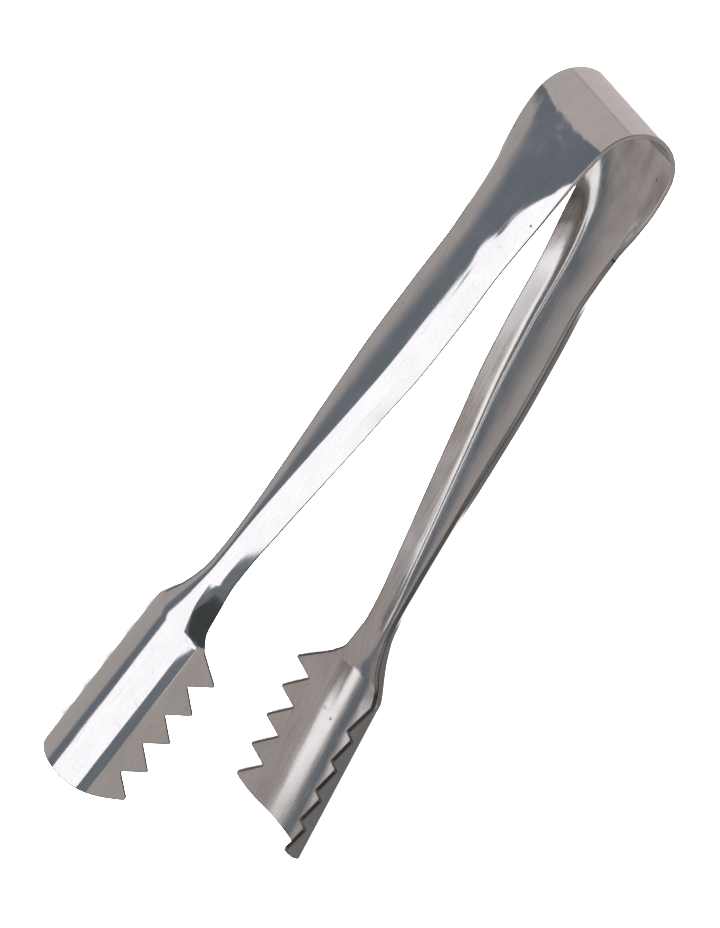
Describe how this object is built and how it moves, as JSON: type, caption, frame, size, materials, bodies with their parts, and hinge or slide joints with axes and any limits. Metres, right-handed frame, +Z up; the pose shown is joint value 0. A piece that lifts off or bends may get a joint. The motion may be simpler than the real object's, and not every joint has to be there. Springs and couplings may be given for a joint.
{
  "type": "ice tongs",
  "caption": "Sprung steel ice tongs: one bent strip forms a bow and channelled arms that end in toothed, trough-shaped claws.",
  "frame": {"origin": "under the middle of the bounding box, on the surface that the strip's side edges rest on", "axes": "+X along the tongs from the bow to the claws, +Y across the opening to the right arm, +Z up, across the strip's width"},
  "size_m": [0.1854, 0.0678, 0.0307],
  "materials": {
    "polished_steel": "stainless steel, polished outside, duller inside, with fine scratches and a few small pits"
  },
  "bodies": {
    "bow": {"bow_spring": "polished_steel"},
    "right_half": {"right_arm": "polished_steel", "right_claw": "polished_steel"},
    "left_half": {"left_arm": "polished_steel", "left_claw": "polished_steel"}
  },
  "joints": [
    {"name": "right_squeeze", "type": "hinge", "parent": "bow", "child": "right_half", "pos_m": [-0.08933, 0.00693, 0.01537], "axis": [0, 0, -1], "range_deg": [0, 6.8], "stiffness_Nm_per_rad": 10},
    {"name": "left_squeeze", "type": "hinge", "parent": "bow", "child": "left_half", "pos_m": [-0.08933, -0.00693, 0.01537], "axis": [0, 0, 1], "range_deg": [0, 6.8], "stiffness_Nm_per_rad": 10}
  ],
  "couplings": [
    {"joint": "left_squeeze", "follows": "right_squeeze", "ratio": 1}
  ]
}
